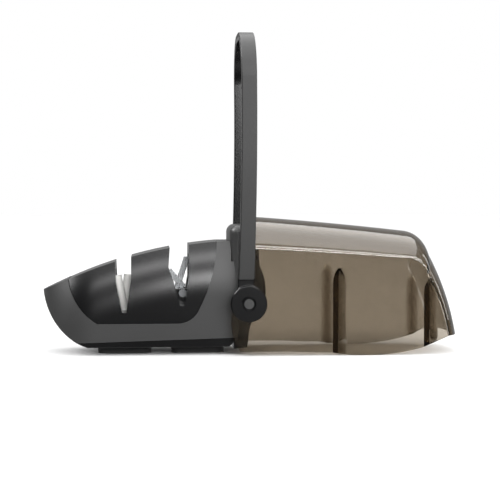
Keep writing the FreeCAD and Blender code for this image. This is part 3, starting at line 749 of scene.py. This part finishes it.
# ---------------------------------------------------------------- stage

class SHARPENER_OT_stage(bpy.types.Operator):
    """Lays seamless white paper, soft boxes and the camera"""
    bl_idname = "sharpener.stage"
    bl_label = "Stage"

    def execute(self, context):
        paper = bmesh.new()
        bmesh.ops.create_circle(paper, cap_ends=True, segments=96, radius=4.0)
        floor = mesh_object("studio_paper", paper, "paper", 60)
        floor.visible_glossy = False
        context.scene.view_settings.view_transform = "Standard"
        self.world(context)
        self.soft_box("roof_box", (0.1, 0.0, 0.8), (0.05, 0, 0.05), 1.6, 1.0, 14, False)
        self.soft_box("high_box", (0.25, -0.9, 0.62), (0, 0, 0.05), 1.3, 0.12, 4.5)
        self.soft_box("low_box", (0.42, -1.1, 0.3), (0.0, 0, 0.05), 1.1, 0.2, 9)
        self.soft_box("left_box", (-0.8, -0.5, 0.75), (0, 0, 0.03), 0.25, 0.6, 4)
        self.soft_box("right_box", (1.0, 0.1, 0.4), (0, 0, 0.05), 0.25, 0.6, 2)
        self.soft_box("edge_box", (-0.95, 0.0, 0.95), (0, 0, 0.03), 0.35, 0.5, 14, False)
        self.camera(context)
        return {"FINISHED"}

    def world(self, context):
        """White to look at and to light with. A gloss mirrors it bright above and below, grey behind
        and nearly black in front."""
        world = bpy.data.worlds.new("studio")
        context.scene.world = world
        world.use_nodes = True
        world.cycles.sampling_method = "NONE"
        tree = world.node_tree
        tree.nodes.clear()
        rays = add_node(tree, "ShaderNodeLightPath")
        way = add_node(tree, "ShaderNodeTexCoord")
        split = add_node(tree, "ShaderNodeSeparateXYZ", None, {0: way.outputs["Generated"]})
        steep = add_node(tree, "ShaderNodeMath", {"operation": "ABSOLUTE"}, {0: split.outputs["Z"]})
        above = add_node(tree, "ShaderNodeMapRange",
                         {"interpolation_type": "SMOOTHSTEP", "From Min": 0.4, "From Max": 0.85,
                          "To Min": 0.06, "To Max": 0.8}, {"Value": steep.outputs[0]})
        behind = add_node(tree, "ShaderNodeMapRange",
                          {"interpolation_type": "SMOOTHSTEP", "From Min": 0.0, "From Max": 0.5,
                           "To Min": 0.0, "To Max": 0.45}, {"Value": split.outputs["Y"]})
        height = add_node(tree, "ShaderNodeMath", {"operation": "MAXIMUM"},
                          {0: above.outputs[0], 1: behind.outputs[0]})
        seen = add_node(tree, "ShaderNodeMath", {"operation": "MAXIMUM"},
                        {0: rays.outputs["Is Camera Ray"], 1: rays.outputs["Is Transmission Ray"]})
        lit = add_node(tree, "ShaderNodeMix", {"data_type": "FLOAT", 3: SKY_LIGHT},
                       {0: rays.outputs["Is Diffuse Ray"], 2: height.outputs[0]})
        strength = add_node(tree, "ShaderNodeMix", {"data_type": "FLOAT", 3: 1.0},
                            {0: seen.outputs[0], 2: lit.outputs[0]})
        sky = add_node(tree, "ShaderNodeBackground", {"Color": (1, 1, 1, 1)},
                       {"Strength": strength.outputs[0]})
        add_node(tree, "ShaderNodeOutputWorld", None, {"Surface": sky.outputs[0]})

    def soft_box(self, name, place, aim, wide, tall, watts, on_matt=True):
        """A rectangular lamp; with on_matt off it shows only in glossy finishes."""
        data = bpy.data.lights.new(name, "AREA")
        data.shape = "RECTANGLE"
        data.size, data.size_y, data.energy = wide, tall, watts
        light = bpy.data.objects.new(name, data)
        bpy.context.scene.collection.objects.link(light)
        light.visible_camera = False
        light.visible_diffuse = on_matt
        light.location = place
        light.rotation_euler = (Vector(aim) - Vector(place)).to_track_quat("-Z", "Y").to_euler()

    def camera(self, context):
        """A long lens, nearly level with the hinge and turned a little towards the nose's end."""
        data = bpy.data.cameras.new("camera")
        data.sensor_width = 36.0
        data.lens = 93.6
        camera = bpy.data.objects.new("camera", data)
        context.scene.collection.objects.link(camera)
        azimuth, elevation, distance = math.radians(-4.4), math.radians(2.5), 0.65
        aim = at_pin(2.56, 0, 24.76)
        back = Vector((math.sin(azimuth) * math.cos(elevation), -math.cos(azimuth) * math.cos(elevation),
                       math.sin(elevation)))
        camera.location = aim + back * distance
        camera.rotation_euler = (-back).to_track_quat("-Z", "Y").to_euler()
        context.scene.camera = camera


class SHARPENER_PT_panel(bpy.types.Panel):
    """Lists the sizes, colours and steps"""
    bl_label = "Sharpener"
    bl_space_type = "VIEW_3D"
    bl_region_type = "UI"
    bl_category = "Sharpener"

    def draw(self, context):
        for group in (context.scene.sharpener_sizes, context.scene.sharpener_colours):
            for name in group.bl_rna.properties.keys():
                if name not in ("rna_type", "name"):
                    self.layout.prop(group, name)
        for step in STEPS:
            self.layout.operator(step.bl_idname)


STEPS = (SHARPENER_OT_stage, SHARPENER_OT_finishes, SHARPENER_OT_housing, SHARPENER_OT_head,
         SHARPENER_OT_hub_steps, SHARPENER_OT_cover)
CLASSES = (SharpenerSizes, SharpenerColours) + STEPS + (SHARPENER_PT_panel,)


def register():
    for cls in CLASSES:
        bpy.utils.register_class(cls)
    bpy.types.Scene.sharpener_sizes = PointerProperty(type=SharpenerSizes)
    bpy.types.Scene.sharpener_colours = PointerProperty(type=SharpenerColours)


def unregister():
    del bpy.types.Scene.sharpener_colours
    del bpy.types.Scene.sharpener_sizes
    for cls in reversed(CLASSES):
        bpy.utils.unregister_class(cls)


def main():
    register()
    bpy.ops.sharpener.stage()
    bpy.ops.sharpener.finishes()
    bpy.ops.sharpener.housing()
    bpy.ops.sharpener.head()
    bpy.ops.sharpener.hub_steps()
    bpy.ops.sharpener.cover()


if __name__ == "__main__":
    main()
